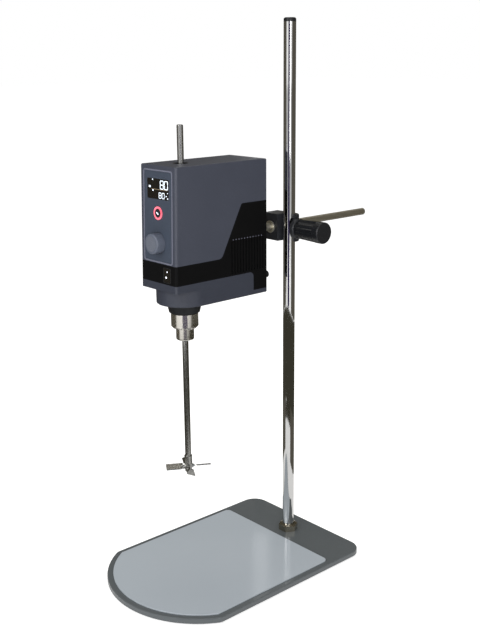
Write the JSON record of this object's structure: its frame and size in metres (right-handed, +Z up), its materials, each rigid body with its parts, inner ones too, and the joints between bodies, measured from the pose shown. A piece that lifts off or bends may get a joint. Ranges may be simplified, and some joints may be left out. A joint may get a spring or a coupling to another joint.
{
  "type": "overhead stirrer",
  "caption": "Overhead laboratory stirrer with display and speed dial, drill chuck and propeller shaft, carried by a cross clamp on a plate stand.",
  "frame": {"origin": "centre of the whole part's footprint on the bench", "axes": "+Z up along the pole, -Y towards the user whom the display faces, +X to the user's right"},
  "size_m": [0.222, 0.46, 0.716],
  "materials": {
    "plate_paint": "grey gloss paint",
    "pad_inlay": "pale blue-grey gloss",
    "rubber": "matt rubber",
    "chrome": "polished chrome",
    "nickel": "bright nickel",
    "black_plastic": "satin black plastic",
    "clamp_black": "black powder coat",
    "steel": "ground steel",
    "brass": "turned brass",
    "shell_grey": "satin blue-grey plastic",
    "cover_black": "black plastic",
    "display_glass": "smoked clear window",
    "display_dark": "black",
    "board_green": "circuit board",
    "ring_red": "lit red",
    "light_white": "lit white",
    "aluminium": "cast and turned aluminium",
    "belt_rubber": "belt rubber"
  },
  "bodies": {
    "base": {"base_plate": "plate_paint", "base_feet": "rubber", "base_pad": "pad_inlay", "pole_nut": "nickel"},
    "column": {"pole": "chrome", "pole_cap": "black_plastic", "spigot_nut": "steel"},
    "clamp": {"clamp_body": "clamp_black"},
    "pole_pad": {"pole_jaw": "brass"},
    "pole_grip": {"pole_screw": "steel", "pole_knob": "black_plastic"},
    "rod_pad": {"rod_jaw": "brass"},
    "rod_grip": {"rod_screw": "steel", "rod_knob": "black_plastic"},
    "arm": {"arm_rod": "steel", "rod_lock_nut": "steel"},
    "head": {"upper_shell": "shell_grey", "rear_cover": "cover_black", "lower_housing": "shell_grey", "front_panel": "shell_grey", "display_window": "display_glass", "lcd_module": "display_dark", "display_board": "board_green", "key_ring": "ring_red", "encoder": "aluminium", "indicator_window": "cover_black", "status_lights": "light_white", "chassis": "aluminium", "motor_case": "aluminium", "motor_screws": "steel", "drive_belt": "belt_rubber", "lower_bearing": "steel", "upper_bearing": "steel", "bearing_flange": "black_plastic", "flange_screws": "steel", "housing_screws": "steel", "top_bush": "black_plastic", "power_board": "board_green", "power_inlet": "black_plastic", "inlet_pins": "brass", "switch_frame": "black_plastic", "fuse_holder": "black_plastic"},
    "output": {"spindle": "steel", "spindle_pulley": "aluminium", "chuck_body": "nickel"},
    "sleeve": {"chuck_sleeve": "nickel"},
    "jaw_a": {"chuck_jaw_a": "steel"},
    "jaw_b": {"chuck_jaw_b": "steel"},
    "jaw_c": {"chuck_jaw_c": "steel"},
    "tool": {"stirring_shaft": "steel", "propeller": "steel", "hub_screw": "steel"},
    "rotor": {"motor_rotor": "steel", "motor_pulley": "aluminium"},
    "dial": {"speed_knob": "shell_grey", "knob_cap": "shell_grey", "encoder_shaft": "steel"},
    "key": {"start_key": "display_dark"},
    "rocker": {"power_switch": "black_plastic"},
    "fuse": {"fuse_cap": "black_plastic"}
  },
  "joints": [
    {"name": "column_swing", "type": "hinge", "parent": "base", "child": "column", "pos_m": [0, 0.058, 0.008], "axis": [0, 0, 1], "continuous": true},
    {"name": "clamp_height", "type": "slide", "parent": "column", "child": "clamp", "axis": [0, 0, 1], "range_m": [-0.1, 0.235]},
    {"name": "arm_reach", "type": "slide", "parent": "clamp", "child": "arm", "axis": [0, 1, 0], "range_m": [-0.15, 0.03]},
    {"name": "head_tilt", "type": "hinge", "parent": "arm", "child": "head", "pos_m": [-0.022, 0.058, 0.449], "axis": [0, 1, 0], "range_deg": [-90, 90]},
    {"name": "pole_pad_slide", "type": "slide", "parent": "clamp", "child": "pole_pad", "axis": [1, 0, 0], "range_m": [0, 0.0025]},
    {"name": "pole_knob_turn", "type": "hinge", "parent": "pole_pad", "child": "pole_grip", "pos_m": [0, 0.058, 0.449], "axis": [1, 0, 0], "range_deg": [0, 721]},
    {"name": "rod_pad_slide", "type": "slide", "parent": "clamp", "child": "rod_pad", "axis": [-1, 0, 0], "range_m": [0, 0.0025]},
    {"name": "rod_knob_turn", "type": "hinge", "parent": "rod_pad", "child": "rod_grip", "pos_m": [-0.022, 0.058, 0.449], "axis": [-1, 0, 0], "range_deg": [0, 721]},
    {"name": "spindle_spin", "type": "hinge", "parent": "head", "child": "output", "pos_m": [-0.022, -0.105, 0.372], "axis": [0, 0, 1], "continuous": true},
    {"name": "rotor_spin", "type": "hinge", "parent": "head", "child": "rotor", "pos_m": [-0.022, -0.0545, 0.372], "axis": [0, 0, 1], "continuous": true},
    {"name": "tool_slide", "type": "slide", "parent": "output", "child": "tool", "axis": [0, 0, 1], "range_m": [-0.02, 0.13]},
    {"name": "sleeve_turn", "type": "hinge", "parent": "output", "child": "sleeve", "pos_m": [-0.022, -0.105, 0.372], "axis": [0, 0, 1], "range_deg": [0, 120]},
    {"name": "jaw_a_slide", "type": "slide", "parent": "output", "child": "jaw_a", "axis": [0.0506, 0.3383, 0.9397], "range_m": [0, 0.0026]},
    {"name": "jaw_b_slide", "type": "slide", "parent": "output", "child": "jaw_b", "axis": [-0.3182, -0.1254, 0.9397], "range_m": [0, 0.0026]},
    {"name": "jaw_c_slide", "type": "slide", "parent": "output", "child": "jaw_c", "axis": [0.2677, -0.2129, 0.9397], "range_m": [0, 0.0026]},
    {"name": "dial_turn", "type": "hinge", "parent": "head", "child": "dial", "pos_m": [-0.022, -0.14288, 0.45147], "axis": [0, -0.9996, 0.0267], "continuous": true},
    {"name": "key_press", "type": "slide", "parent": "head", "child": "key", "axis": [0, 0.9996, -0.0267], "range_m": [0, 0.0008], "stiffness_N_per_m": 2500},
    {"name": "rocker_tilt", "type": "hinge", "parent": "head", "child": "rocker", "pos_m": [-0.042, 0.0061, 0.426], "axis": [1, 0, 0], "range_deg": [-16, 0]},
    {"name": "fuse_turn", "type": "hinge", "parent": "head", "child": "fuse", "pos_m": [0.005, 0.0045, 0.3938], "axis": [0, 1, 0], "range_deg": [0, 90]}
  ],
  "couplings": [
    {"joint": "pole_knob_turn", "follows": "pole_pad_slide", "rad_per_m": 5026.5},
    {"joint": "rod_knob_turn", "follows": "rod_pad_slide", "rad_per_m": 5026.5},
    {"joint": "rotor_spin", "follows": "spindle_spin", "ratio": 2.1111},
    {"joint": "jaw_a_slide", "follows": "sleeve_turn", "m_per_rad": 0.0011937},
    {"joint": "jaw_b_slide", "follows": "sleeve_turn", "m_per_rad": 0.0011937},
    {"joint": "jaw_c_slide", "follows": "sleeve_turn", "m_per_rad": 0.0011937}
  ]
}
